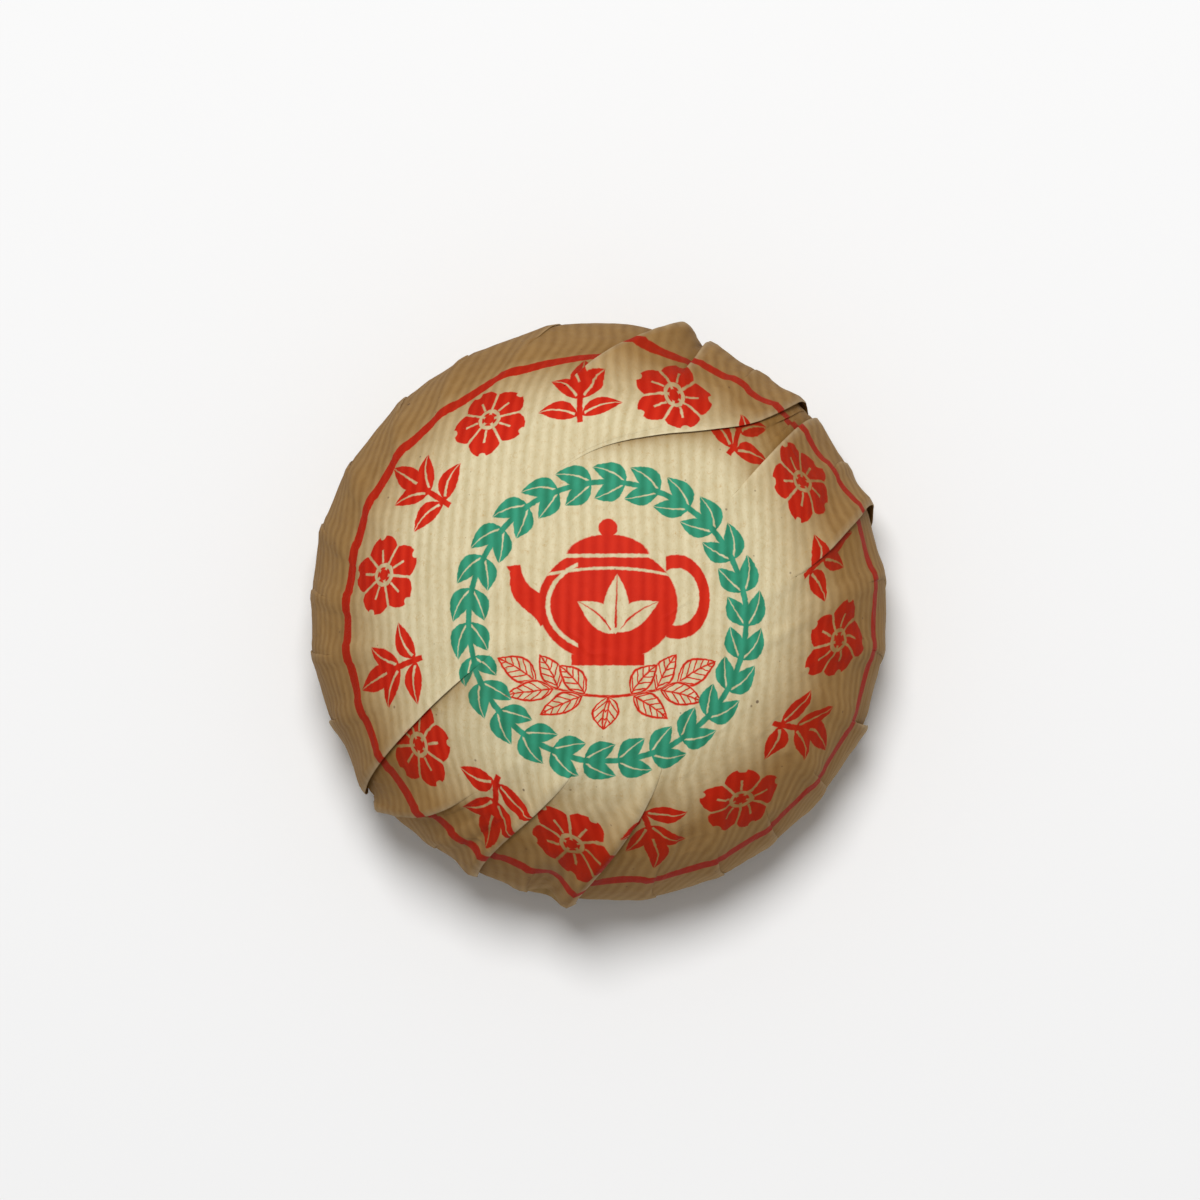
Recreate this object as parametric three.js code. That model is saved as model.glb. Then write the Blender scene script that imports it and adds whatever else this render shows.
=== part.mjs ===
// Pu-erh tuocha: a dome of pressed tea, 100 g, shut in a paper wrapper whose spare
// width is laid in knife pleats, carried round the foot and gathered into the hollow below.
// Millimetres, +Z up. The origin is the centre of the foot ring, on the surface it stands on.
import * as THREE from "three";

// Driving dimensions of the pressed dome in its paper
const WIDEST_RADIUS = 40.6;
const HEIGHT = 43.5;
const WIDEST_AT_HEIGHT = 12;
const FOOT_OUTER_RADIUS = 33.5;
const FOOT_INNER_RADIUS = 25.5;
const HOLLOW_DEPTH = 17;
const KNOT_RADIUS = 5;
const KNOT_DROP = 5.5;
const SHOULDER_POWER = 2.2; // 2 would make the profile elliptical, more makes it squarer

// Driving dimensions of the pleats
const PLEAT_LIFT = 0.9; // how proud a folded edge stands of the sheet under it
const EDGE_RISE_DEGREES = 0.6; // turn taken by the step up onto a folded edge
const LAY_DOWN_SHARE = 0.55; // share of a panel over which its lifted side sinks back
const PANEL_BULGE = 0.012; // share of the radius by which a panel's ends stand off the round
const FADE_IN_LENGTH = 9; // radius over which a pleat grows to its full lift
const FOOT_FADE_HEIGHT = 5; // pleats are pressed flat on the foot and reach full lift here
const TURN_START_RADIUS = 15; // inside this radius a pleat's line is straight
const BULGE_START_RADIUS = 25; // panels start to stand off the round here
const BULGE_FULL_RADIUS = 38;
const SIDE_PLEAT_START_RADIUS = 38;

// Mesh fineness
const PANEL_COLUMNS = 5;
const DOME_ROWS = 13;
const SIDE_ROWS = 5;
const FOOT_ROWS = 1;
const HOLLOW_ROWS = 7;
const KNOT_ROWS = 2;

// Pleats that climb onto the dome, anticlockwise. A pleat starts at radius `start`, where it has
// no depth; its line turns from `inner` degrees to `belt` degrees at the widest place, early where
// `turn` is high. `top` is the side that lies on top: 1 anticlockwise of the edge, -1 clockwise.
const DOME_PLEATS = [
  { name: "right flap", start: 29, inner: -14, belt: 21, turn: 1.0, top: 1 },
  { name: "upper right, lower fold", start: 23, inner: 28, belt: 41, turn: 1.4, top: -1 },
  { name: "long upper fold", start: 18, inner: 118, belt: 45, turn: 2.6, top: 1 },
  { name: "crease beside the top flap", start: 36, inner: 123, belt: 67, turn: 3.0, top: -1 },
  { name: "top flap", start: 34, inner: 128, belt: 72, turn: 1.0, top: -1 },
  { name: "left nick", start: 39, inner: 208, belt: 202, turn: 0.5, top: 1 },
  { name: "long lower left fold", start: 15, inner: 213, belt: 218, turn: 1.0, top: -1 },
  { name: "lower left pocket", start: 36, inner: 256, belt: 222, turn: 0.62, top: -1 },
  { name: "first lower fold", start: 23, inner: 285, belt: 246, turn: 1.4, top: -1 },
  { name: "second lower fold", start: 27, inner: 320, belt: 266, turn: 1.15, top: -1 },
  { name: "right notch", start: 39, inner: 338, belt: 336, turn: 1.0, top: -1 },
];

// Pleats that only gather the side, by their angle at the widest place. On the dome each keeps
// its share of the way between the dome pleats on either side of it.
const SIDE_PLEAT_DEGREES = [
  31, 56, 97, 116, 132, 148, 162, 175, 188, 235, 256, 281, 295, 308, 322, 351, 366,
];

const clamp01 = (value) => Math.min(Math.max(value, 0), 1);
const smooth = (value) => clamp01(value) ** 2 * (3 - 2 * clamp01(value));
const radians = THREE.MathUtils.degToRad;

// Quarter of a rounded-square curve: share 0 to 1 gives [1, 0] to [0, 1]
function quarter(share) {
  const turn = share * Math.PI / 2;
  const power = 2 / SHOULDER_POWER;
  const first = Math.abs(Math.cos(turn)) ** power;
  const second = Math.abs(Math.sin(turn)) ** power;
  return [share === 1 ? 0 : first, second];
}

// Rows of the round profile, from the top of the dome, over the foot, to the knot in the hollow
function profileRows() {
  const rows = [];
  const addRow = (radius, height, zone) => rows.push({ radius, height, zone });
  for (let i = 0; i <= DOME_ROWS; i += 1) {
    const [up, out] = quarter(i / DOME_ROWS);
    const rise = (HEIGHT - WIDEST_AT_HEIGHT) * up;
    addRow(WIDEST_RADIUS * out, WIDEST_AT_HEIGHT + rise, "dome");
  }
  for (let i = 1; i <= SIDE_ROWS; i += 1) {
    const [out, down] = quarter(i / SIDE_ROWS);
    const radius = FOOT_OUTER_RADIUS + (WIDEST_RADIUS - FOOT_OUTER_RADIUS) * out;
    addRow(radius, WIDEST_AT_HEIGHT * (1 - down), "side");
  }
  for (let i = 1; i <= FOOT_ROWS; i += 1) {
    const share = i / FOOT_ROWS;
    addRow(THREE.MathUtils.lerp(FOOT_OUTER_RADIUS, FOOT_INNER_RADIUS, share), 0, "foot");
  }
  for (let i = 1; i <= HOLLOW_ROWS; i += 1) {
    const share = i / HOLLOW_ROWS;
    const radius = THREE.MathUtils.lerp(FOOT_INNER_RADIUS, KNOT_RADIUS, share);
    addRow(radius, HOLLOW_DEPTH * smooth(share), "hollow");
  }
  for (let i = 1; i <= KNOT_ROWS; i += 1) {
    const share = i / KNOT_ROWS;
    addRow(KNOT_RADIUS * (1 - share), HOLLOW_DEPTH - KNOT_DROP * share, "knot");
  }
  return rows;
}

// All pleats, anticlockwise from the first dome pleat
function allPleats() {
  const pleats = [];
  DOME_PLEATS.forEach((before, index) => {
    pleats.push(before);
    const after = DOME_PLEATS[(index + 1) % DOME_PLEATS.length];
    const fullTurn = after.belt < before.belt ? 360 : 0;
    const gap = after.belt + fullTurn - before.belt;
    SIDE_PLEAT_DEGREES.forEach((belt) => {
      const share = (belt - before.belt) / gap;
      if (share > 0 && share < 1) {
        const start = SIDE_PLEAT_START_RADIUS;
        pleats.push({ name: "side pleat", start, top: after.top, before, after, fullTurn, share });
      }
    });
  });
  return pleats;
}

// Angle of a pleat's folded edge on a row; below the belt it runs straight down and in
function edgeDegrees(pleat, row) {
  if (pleat.name === "side pleat") {
    const start = edgeDegrees(pleat.before, row);
    const end = edgeDegrees(pleat.after, row) + pleat.fullTurn;
    return THREE.MathUtils.lerp(start, end, pleat.share);
  }
  if (row.zone !== "dome") {
    return pleat.belt;
  }
  const share = clamp01((row.radius - TURN_START_RADIUS) / (WIDEST_RADIUS - TURN_START_RADIUS));
  return pleat.belt + (pleat.inner - pleat.belt) * (1 - share) ** pleat.turn;
}

// How proud a pleat's folded edge stands on a row
function edgeLift(pleat, row) {
  if (row.zone === "dome") {
    return PLEAT_LIFT * smooth((row.radius - pleat.start) / FADE_IN_LENGTH);
  }
  if (row.zone === "side") {
    return PLEAT_LIFT * smooth(row.height / FOOT_FADE_HEIGHT);
  }
  if (row.zone === "hollow") {
    const offKnot = smooth((row.radius - KNOT_RADIUS) / KNOT_RADIUS);
    return PLEAT_LIFT * smooth(row.height / FOOT_FADE_HEIGHT) * offKnot;
  }
  return 0;
}

// How far a panel's ends stand off the round, as a share of the radius
function panelBulge(row) {
  if (row.zone === "dome") {
    const share = (row.radius - BULGE_START_RADIUS) / (BULGE_FULL_RADIUS - BULGE_START_RADIUS);
    return PANEL_BULGE * smooth(share);
  }
  if (row.zone === "side") {
    return PANEL_BULGE * smooth(row.height / WIDEST_AT_HEIGHT);
  }
  return 0;
}

// Outward normal of the profile at each row, in the plane of radius and height
function profileNormals(rows) {
  return rows.map((row, index) => {
    const before = rows[Math.max(index - 1, 0)];
    const after = rows[Math.min(index + 1, rows.length - 1)];
    const along = new THREE.Vector2(after.radius - before.radius, after.height - before.height);
    return along.normalize().rotateAround(new THREE.Vector2(), Math.PI / 2);
  });
}

// Columns of one row. Each panel runs from one pleat's edge to the next, and the narrow gap
// between two panels is the step up onto a folded edge, which sinks back across its panel.
function rowColumns(row, pleats) {
  const columns = [];
  pleats.forEach((pleat, index) => {
    const last = index === pleats.length - 1;
    const next = pleats[(index + 1) % pleats.length];
    const start = edgeDegrees(pleat, row) + EDGE_RISE_DEGREES / 2;
    const end = edgeDegrees(next, row) + (last ? 360 : 0) - EDGE_RISE_DEGREES / 2;
    const liftHere = pleat.top > 0 ? edgeLift(pleat, row) : 0;
    const liftNext = next.top < 0 ? edgeLift(next, row) : 0;
    for (let i = 0; i <= PANEL_COLUMNS; i += 1) {
      const share = i / PANEL_COLUMNS;
      const fromHere = smooth(1 - share / LAY_DOWN_SHARE);
      const fromNext = smooth(1 - (1 - share) / LAY_DOWN_SHARE);
      columns.push({
        degrees: THREE.MathUtils.lerp(start, end, share),
        lift: liftHere * fromHere + liftNext * fromNext,
        bulge: panelBulge(row) * (2 * share - 1) ** 2,
      });
    }
  });
  return columns;
}

// One closed skin: a fan at the top of the dome, bands of quads, and a fan at the knot
function wrapperGeometry() {
  const rows = profileRows();
  const normals = profileNormals(rows);
  const pleats = allPleats();
  const positions = [0, 0, rows[0].height];
  const inner = rows.slice(1, -1);
  inner.forEach((row, index) => {
    const normal = normals[index + 1];
    rowColumns(row, pleats).forEach((column) => {
      const radius = row.radius * (1 + column.bulge) + normal.x * column.lift;
      const height = row.height + normal.y * column.lift;
      const angle = radians(column.degrees);
      positions.push(radius * Math.cos(angle), radius * Math.sin(angle), height);
    });
  });
  positions.push(0, 0, rows[rows.length - 1].height);

  const columnCount = pleats.length * (PANEL_COLUMNS + 1);
  const lastPoint = positions.length / 3 - 1;
  const point = (row, column) => 1 + row * columnCount + (column % columnCount);
  const faces = [];
  for (let column = 0; column < columnCount; column += 1) {
    faces.push(0, point(0, column), point(0, column + 1));
    for (let row = 0; row < inner.length - 1; row += 1) {
      const a = point(row, column);
      const b = point(row, column + 1);
      const c = point(row + 1, column);
      const d = point(row + 1, column + 1);
      faces.push(a, c, d, a, d, b);
    }
    faces.push(lastPoint, point(inner.length - 1, column + 1), point(inner.length - 1, column));
  }
  const geometry = new THREE.BufferGeometry();
  geometry.setAttribute("position", new THREE.Float32BufferAttribute(positions, 3));
  geometry.setIndex(faces);
  geometry.computeVertexNormals();
  return geometry;
}

const paper = new THREE.MeshStandardMaterial({ color: 0xd6c69a, roughness: 0.8, metalness: 0 });
const wrapped = new THREE.Mesh(wrapperGeometry(), paper);
wrapped.name = "wrapped_tuocha";

const tuocha = new THREE.Group();
tuocha.add(wrapped);

export default tuocha;
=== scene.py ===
"""The looks of a paper-wrapped pu-erh tuocha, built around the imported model.

The wrapper is one closed mesh: a round flat sheet laid over the dome of tea, whose spare width is
taken up by knife pleats with real hidden layers. Each point keeps its place on the flat sheet, and
the print and the paper's ribs are drawn there, so they break and shift at the folds as printed
paper does. Lengths are millimetres until they reach Blender, which works in metres.
"""

import math
from types import SimpleNamespace

import bpy
import numpy as np
from mathutils import Matrix, Vector, noise


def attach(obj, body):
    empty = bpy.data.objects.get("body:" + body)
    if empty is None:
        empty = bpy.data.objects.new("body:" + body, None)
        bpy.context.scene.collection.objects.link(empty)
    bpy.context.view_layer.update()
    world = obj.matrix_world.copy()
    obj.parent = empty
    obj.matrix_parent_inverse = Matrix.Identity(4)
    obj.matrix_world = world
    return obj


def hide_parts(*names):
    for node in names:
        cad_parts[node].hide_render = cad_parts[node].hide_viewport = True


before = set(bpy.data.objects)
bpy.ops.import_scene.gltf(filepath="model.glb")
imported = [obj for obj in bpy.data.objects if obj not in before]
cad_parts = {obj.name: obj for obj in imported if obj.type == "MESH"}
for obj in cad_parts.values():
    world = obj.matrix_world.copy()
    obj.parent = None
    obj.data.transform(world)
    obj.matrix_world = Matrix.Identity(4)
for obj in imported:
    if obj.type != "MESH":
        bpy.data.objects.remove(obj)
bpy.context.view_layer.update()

MM = 0.001
NODE = "wrapped_tuocha"

# -------- the round profile of the tea
WIDEST_RADIUS = 40.6
HEIGHT = 43.5
WIDEST_AT_HEIGHT = 12.0
FOOT_OUTER_RADIUS = 33.5
FOOT_INNER_RADIUS = 25.5
FOOT_LIFT = 0.55  # the layers of paper under the foot
HOLLOW_DEPTH = 17.0
KNOT_RADIUS = 5.0
KNOT_DROP = 5.5
SHOULDER_POWER = 2.2  # 2 would make the profile elliptical, more makes it squarer
PROFILE_STEPS = 1500  # for each stretch of the profile

# -------- rows of the sheet
DOME_STEP = 0.62
SIDE_STEP = 0.8
UNDER_STEP = 1.0
SLOPE_STEP = 0.2  # a row's slope is measured so far to either side of it

# -------- pleats
TURN_START_RADIUS = 15.0  # inside this radius a pleat's line is straight
BORDER_REACH = 43.0  # distance over the dome at which a pleat's `hidden` is given
DOME_HIDDEN_GROWTH_MIN = 8.0  # least distance over which a dome pleat grows to `hidden`
DOME_HIDDEN_LIMIT = 1.3  # a dome pleat grows to this many times `hidden`
SIDE_PLEAT_FULL = 62.0  # distance at which a side pleat has its full `hidden`
SLOPE_LIMIT = 1.1  # radians by which a folded edge may lean from straight down the dome
EVEN_START = 2.0  # up to this distance the mesh's lines run evenly spaced into the top
EVEN_REACH = 13.0  # and over this distance more they settle into their own places
LAYER_GAP = 0.1
EDGE_ROUNDING = 0.09
PLEAT_ROOM = 3.0  # columns of a pleat draw together where a panel is narrower than this
PANEL_SPACING = 1.05
PANEL_COLUMNS_MIN = 5
SHARP_DEGREES = 65  # the paper's shading breaks where it turns by more than this
MAP_MARGIN = 1.05  # the second UV map fits the sheet into the unit square with this margin

# start: distance over the dome where the pleat begins. inner, belt: its angle near the top and at
# the widest place, in degrees anticlockwise from +X. turn: how early it swings from one to the
# other. top: the side that lies on top, 1 anticlockwise, -1 clockwise. hidden: width of each
# hidden layer at the printed border. lift: how proud the folded edge stands. flare: how much
# further it stands off near the widest place. roll: how far the paper rises in a soft roll
# beside the edge.
DOME_PLEATS = [
    dict(start=30.0, inner=-14, belt=21, turn=1.0, top=1, hidden=3.6, lift=0.9, flare=0.3, roll=0.15),
    dict(start=24.0, inner=28, belt=41, turn=1.4, top=-1, hidden=1.2, lift=0.6, flare=0, roll=0.1),
    dict(start=15.0, inner=120, belt=45, turn=2.8, top=1, hidden=4.2, lift=0.6, flare=0.4, roll=0.35),
    dict(start=34.0, inner=123, belt=67, turn=3.0, top=-1, hidden=0.8, lift=0.75, flare=0.4, roll=0.1),
    dict(start=31.0, inner=128, belt=72, turn=1.0, top=-1, hidden=4.0, lift=1.1, flare=1.3, roll=0.3),
    dict(start=46.0, inner=208, belt=202, turn=0.5, top=1, hidden=0.5, lift=0.4, flare=0.1, roll=0),
    dict(start=15.0, inner=213, belt=218, turn=1.0, top=-1, hidden=2.7, lift=0.7, flare=0.2, roll=0.2),
    dict(start=33.0, inner=256, belt=221.5, turn=0.62, top=-1, hidden=1, lift=0.9, flare=0.4, roll=0.2),
    dict(start=25.0, inner=285, belt=246, turn=1.4, top=-1, hidden=2.5, lift=0.7, flare=0.1, roll=0.45),
    dict(start=27.0, inner=320, belt=266, turn=1.15, top=-1, hidden=2.6, lift=0.9, flare=0.1, roll=1.1),
    dict(start=46.0, inner=338, belt=336, turn=1.0, top=-1, hidden=0.5, lift=0.7, flare=0.3, roll=0),
]
# Pleats that only gather the side, by their angle at the widest place.
SIDE_PLEATS = [31, 56, 97, 116, 132, 148, 162, 175, 188, 235, 256, 281, 295, 308, 322, 351, 366]
SIDE_PLEAT = dict(start=44.0, hidden=2.0, lift=0.17, flare=0.0, roll=0.05)
# Least and most by which chance moves a side pleat's start, and multiplies its other sizes.
SIDE_START_SPREAD = (-5, 3)
SIDE_HIDDEN_SPREAD = (0.7, 1.4)
SIDE_LIFT_SPREAD = (0.3, 1.5)
LOW_LIFT_SPREAD = (0.5, 1.5)
PLEAT_SEED = 7
WAVE_SPREAD = (0.4, 1.1)  # degrees by which chance lets a pleat wave and drift aside
DRIFT_SPREAD = (-2.2, 2.2)
WANDER_ROOM = 14  # pleats closer than so many degrees stray less from their smooth lines
EASE_GAP_MIN = 10  # a shift of the sheet eases out before the next dome pleat at least so far away

LIFT_GROWTH = 9.0  # distance over which a folded edge rises to its full lift
LOW_LIFT = 0.6  # how proud every folded edge stands below the widest place
HOLLOW_LIFT = 1.1  # and inside the hollow
FLARE_REACH = 53.0  # distance from the top where edges flare out most
FLARE_LENGTH = 7.0
FLOOR_CLEARANCE = 0.12  # least height of a lifted edge above the floor
FORMED_WIDTH = 0.5  # a pleat's layers have come apart where its hidden width is this
ROLL_WIDTH = 4.2
ROLL_START = 24.0  # soft rolls grow from this distance and fade below the widest place
ROLL_GROWTH = 14.0
ROLL_FADE = 6.0
SHADE_FULL_LIFT = 0.5  # lift of an edge that fully shades the paper beside it
SHADE_REACH = 2.6  # the shade thins out over this distance
PRESSED_HEIGHT = 0.15  # paper that would be lower than this is pressed together above the floor

# Soft creases and ridges: start and end seen from above, height (below 0 is a valley), half width.
CREASES = [
    ((22.5, -8.0), (31.0, -3.2), 0.34, 0.9),
    ((31.0, -3.2), (38.5, 0.0), 0.26, 0.9),
    ((0.0, -23.5), (-8.0, -28.5), 0.55, 1.5),
    ((-17.0, -30.0), (-14.0, -29.0), 0.25, 0.8),
    ((28.5, 4.1), (28.4, 10.8), 0.3, 0.8),
    ((17.5, 15.0), (11.5, 4.5), -0.16, 1.0),
    ((-12.0, -0.5), (-15.5, 1.5), 0.2, 1.2),
    ((-5.0, 20.0), (-9.0, 17.5), 0.22, 1.4),
    ((-3.0, 18.6), (6.0, 21.4), 0.45, 1.2),
]
# Dimples: place seen from above, height, half width.
DIMPLES = [
    ((-6.6, -39.0), -1.1, 2.4),
    ((15.2, 35.4), -0.7, 1.8),
]


def smooth(value):
    """A soft step from 0 to 1."""
    value = np.clip(value, 0.0, 1.0)
    return value * value * (3 - 2 * value)


def quarter(share):
    """A quarter of a rounded-square curve, from (1, 0) to (0, 1)."""
    turn = share * math.pi / 2
    power = 2 / SHOULDER_POWER
    return np.cos(turn).clip(0) ** power, np.sin(turn).clip(0) ** power


def profile():
    """Distance over the surface from the top, radius and height there, and where zones end."""
    share = np.linspace(0, 1, PROFILE_STEPS)
    up, out = quarter(share)
    stretches = [(WIDEST_RADIUS * out, WIDEST_AT_HEIGHT + (HEIGHT - WIDEST_AT_HEIGHT) * up)]
    out, down = quarter(share)
    radius = FOOT_OUTER_RADIUS + (WIDEST_RADIUS - FOOT_OUTER_RADIUS) * out
    stretches.append((radius, FOOT_LIFT + (WIDEST_AT_HEIGHT - FOOT_LIFT) * (1 - down)))
    radius = FOOT_OUTER_RADIUS + (FOOT_INNER_RADIUS - FOOT_OUTER_RADIUS) * share
    stretches.append((radius, np.full_like(share, FOOT_LIFT)))
    radius = FOOT_INNER_RADIUS + (KNOT_RADIUS - FOOT_INNER_RADIUS) * share
    stretches.append((radius, FOOT_LIFT + (HOLLOW_DEPTH - FOOT_LIFT) * smooth(share)))
    stretches.append((KNOT_RADIUS * (1 - share), HOLLOW_DEPTH - KNOT_DROP * share))
    radius = np.concatenate([stretches[0][0]] + [radius[1:] for radius, _ in stretches[1:]])
    height = np.concatenate([stretches[0][1]] + [height[1:] for _, height in stretches[1:]])
    steps = np.hypot(np.diff(radius), np.diff(height))
    reach = np.concatenate([[0], np.cumsum(steps)])
    ends = reach[PROFILE_STEPS - 1::PROFILE_STEPS - 1]
    return reach, radius, height, ends


REACH, RADIUS, HEIGHTS, (DOME_END, SIDE_END, FOOT_END, _, KNOT_END) = profile()


def row_reaches():
    """Distances from the top at which the sheet's rows lie, without its two end points."""
    def stretch(start, end, step):
        return np.linspace(start, end, round((end - start) / step), endpoint=False)
    return np.concatenate([
        stretch(DOME_STEP, DOME_END, DOME_STEP),
        stretch(DOME_END, SIDE_END, SIDE_STEP),
        stretch(SIDE_END, KNOT_END, UNDER_STEP),
    ])


# Values on each row: distance S from the top, radius, height, and the outward normal.
S = row_reaches()
R = np.interp(S, REACH, RADIUS)
Z = np.interp(S, REACH, HEIGHTS)
SLOPE_R, SLOPE_Z = [
    np.interp(S + SLOPE_STEP, REACH, values) - np.interp(S - SLOPE_STEP, REACH, values)
    for values in (RADIUS, HEIGHTS)
]
NORMAL_R = -SLOPE_Z / np.hypot(SLOPE_R, SLOPE_Z)
NORMAL_Z = SLOPE_R / np.hypot(SLOPE_R, SLOPE_Z)


def risen(start, length):
    """A soft step from 0 to 1 on the rows, over a length that starts at a distance from the top."""
    return smooth((S - start) / length)


ON_SIDE = risen(DOME_END, SIDE_END - DOME_END)


def dome_angle(pleat):
    """A dome pleat's angle on each row, in degrees."""
    share = np.clip((R - TURN_START_RADIUS) / (WIDEST_RADIUS - TURN_START_RADIUS), 0, 1)
    share = np.where(S > DOME_END, 1.0, share)
    return pleat["belt"] + (pleat["inner"] - pleat["belt"]) * (1 - share) ** pleat["turn"]


def all_pleats():
    """Every pleat anticlockwise, and its angle in degrees on each row. A side pleat keeps its
    share of the way between the dome pleats on either side of it."""
    chance = np.random.default_rng(PLEAT_SEED)
    pleats, angles = [], []
    for index, pleat in enumerate(DOME_PLEATS):
        after = DOME_PLEATS[(index + 1) % len(DOME_PLEATS)]
        full_turn = 360 if after["belt"] < pleat["belt"] else 0
        start = dome_angle(pleat)
        end = dome_angle(after) + full_turn
        pleats.append(dict(pleat, side=False))
        angles.append(start)
        for belt in SIDE_PLEATS:
            share = (belt - pleat["belt"]) / (after["belt"] + full_turn - pleat["belt"])
            if 0 < share < 1:
                side_pleat = dict(SIDE_PLEAT, side=True, top=after["top"])
                side_pleat["start"] += chance.uniform(*SIDE_START_SPREAD)
                side_pleat["hidden"] *= chance.uniform(*SIDE_HIDDEN_SPREAD)
                side_pleat["lift"] *= chance.uniform(*SIDE_LIFT_SPREAD)
                pleats.append(side_pleat)
                angles.append(start + (end - start) * share)
    belts = np.array([angle[-1] for angle in angles])
    gaps = np.append(np.diff(belts), belts[0] + 360 - belts[-1])
    rooms = np.minimum(gaps, np.roll(gaps, 1)) / WANDER_ROOM
    for k, pleat in enumerate(pleats):
        pleat["low_lift"] = LOW_LIFT * chance.uniform(*LOW_LIFT_SPREAD)
        angles[k] = angles[k] + wander(chance) * min(1, rooms[k])
    return pleats, np.array(angles)


def wander(chance):
    """Degrees by which a pleat strays from its smooth line, from above the belt downward."""
    wave_start, wave_growth, wave_radian = 50, 10, 6
    drift_start, drift_growth = 56, 25
    wave = chance.uniform(*WAVE_SPREAD) * np.sin(S / wave_radian + chance.uniform(0, math.tau))
    drift = chance.uniform(*DRIFT_SPREAD) * risen(drift_start, drift_growth)
    return wave * risen(wave_start, wave_growth) + drift


def swirl():
    """Degrees by which all pleats lean on together below the belt and twist into the knot."""
    side_lean, knot_twist = -7, -45
    return side_lean * ON_SIDE + knot_twist * risen(FOOT_END, KNOT_END - FOOT_END)


PLEATS, DEGREES = all_pleats()
COUNT = len(PLEATS)
EVENLY = DEGREES[0, -1] + 360 * np.arange(COUNT)[:, None] / COUNT
SETTLED = risen(EVEN_START, EVEN_REACH)
ANGLE = np.radians(EVENLY + (DEGREES - EVENLY) * SETTLED + swirl())
LEAN = np.arctan(R * np.gradient(ANGLE, S, axis=1)).clip(-SLOPE_LIMIT, SLOPE_LIMIT)
TOP = np.array([pleat["top"] for pleat in PLEATS])
NEXT_ANGLE = np.vstack([ANGLE[1:], ANGLE[:1] + math.tau])
GAP_AFTER = (NEXT_ANGLE - ANGLE) * R
GAP_BEFORE = np.roll(GAP_AFTER, 1, axis=0)
GAP_OVER = np.where(TOP[:, None] > 0, GAP_AFTER, GAP_BEFORE)  # width of the panel that is on top
GAP_UNDER = np.where(TOP[:, None] > 0, GAP_BEFORE, GAP_AFTER)
OVER_ROOM = np.minimum(1, GAP_OVER / PLEAT_ROOM)
UNDER_ROOM = np.minimum(1, GAP_UNDER / PLEAT_ROOM)


def edge_lift(pleat):
    """How proud the folded edge stands on each row."""
    low_start, low_growth, deep_growth = DOME_END + 5, 6, 7
    grown = risen(pleat["start"], LIFT_GROWTH)
    flare = pleat["flare"] * np.exp(-((S - FLARE_REACH) / FLARE_LENGTH) ** 2)
    low = risen(low_start, low_growth)
    lift = (pleat["lift"] + flare) * grown * (1 - low) + pleat["low_lift"] * low
    deep = risen(FOOT_END, deep_growth)
    lift = lift * (1 - deep) + HOLLOW_LIFT * pleat["low_lift"] / LOW_LIFT * deep
    downward = np.maximum(-NORMAL_Z, 0.2)
    floor_room = np.where(S > DOME_END, (Z - FLOOR_CLEARANCE) / downward, HEIGHT)
    return np.minimum(lift, floor_room)


def hidden_width(pleat):
    """Width of a hidden layer on each row, square to the edge, before all are evened out."""
    if pleat["side"]:
        return pleat["hidden"] * risen(pleat["start"], SIDE_PLEAT_FULL - pleat["start"])
    growth = max(BORDER_REACH - pleat["start"], DOME_HIDDEN_GROWTH_MIN)
    grown = np.clip((S - pleat["start"]) / growth, 0, DOME_HIDDEN_LIMIT)
    return pleat["hidden"] * grown


def hidden_widths():
    """Hidden layers that together take up the sheet's spare width, as far as panels have room."""
    evening_least, evening_most = 0.5, 2.5
    panel_share, panel_margin = 0.42, 0.3
    raw = np.array([hidden_width(pleat) for pleat in PLEATS])
    spare = math.tau * (S - R)
    taken = np.maximum((2 * raw * np.cos(LEAN)).sum(0), 0.5)
    evened = raw * np.clip(spare / taken, evening_least, evening_most)
    room = np.clip(GAP_OVER * panel_share - panel_margin, 0, None) * np.cos(LEAN)
    return np.minimum(evened, room)


LIFT = np.array([edge_lift(pleat) for pleat in PLEATS])
HIDDEN = hidden_widths()
WIDTH = HIDDEN / np.cos(LEAN)  # of a hidden layer, measured along the row
FORMED = smooth(WIDTH / FORMED_WIDTH)  # 0 where there is no pleat yet
LIFT = LIFT * FORMED * OVER_ROOM
ROLLED = risen(ROLL_START, ROLL_GROWTH) * (1 - risen(DOME_END, ROLL_FADE))

# What a pleat's hidden paper does to the flat sheet's places when crossed anticlockwise: they
# jump on along the row and outward from the top.
JUMP_ALONG = 2 * HIDDEN * np.cos(LEAN) * FORMED
JUMP_OUT = -2 * HIDDEN * np.sin(LEAN) * FORMED

# A pleat's columns, from under the folded edge, round the hidden crease, back, round the folded
# edge and on. Each has the distance along the row from the edge, as a share of the hidden width
# and as millimetres, the height, as a share of the lift and as millimetres, the distance where
# there is no pleat yet, and how far the fold above casts painted shade on it, before it fades
# outside the edge, or, below 0, how far it is worn pale with a painted highlight.
UNDER_COLUMNS = [
    (0, -1.1, 0, 0, -1.1, 1),
    (0, -0.35, 0, 0, -0.35, 1),
    (0.35, 0, 0, 0, -0.27, 1),
    (0.8, 0, 0, 0, -0.2, 1),
    (1, 0, 0, 0, -0.14, 1),
    (1, 0.1, 0, LAYER_GAP / 2, -0.09, 1),
]
MIDDLE_COLUMNS = [
    (1, 0, 0, LAYER_GAP, -0.04, 1),
    (0.6, 0, 0.4, LAYER_GAP * 0.6, 0.0, 1),
    (0.2, 0.05, 0.8, -EDGE_ROUNDING, 0.05, 0.7),
    (0, 0.06, 1, -2 * EDGE_ROUNDING, 0.1, 0.2),
    (0, -EDGE_ROUNDING, 1, -EDGE_ROUNDING, 0.15, -0.6),
]
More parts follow.
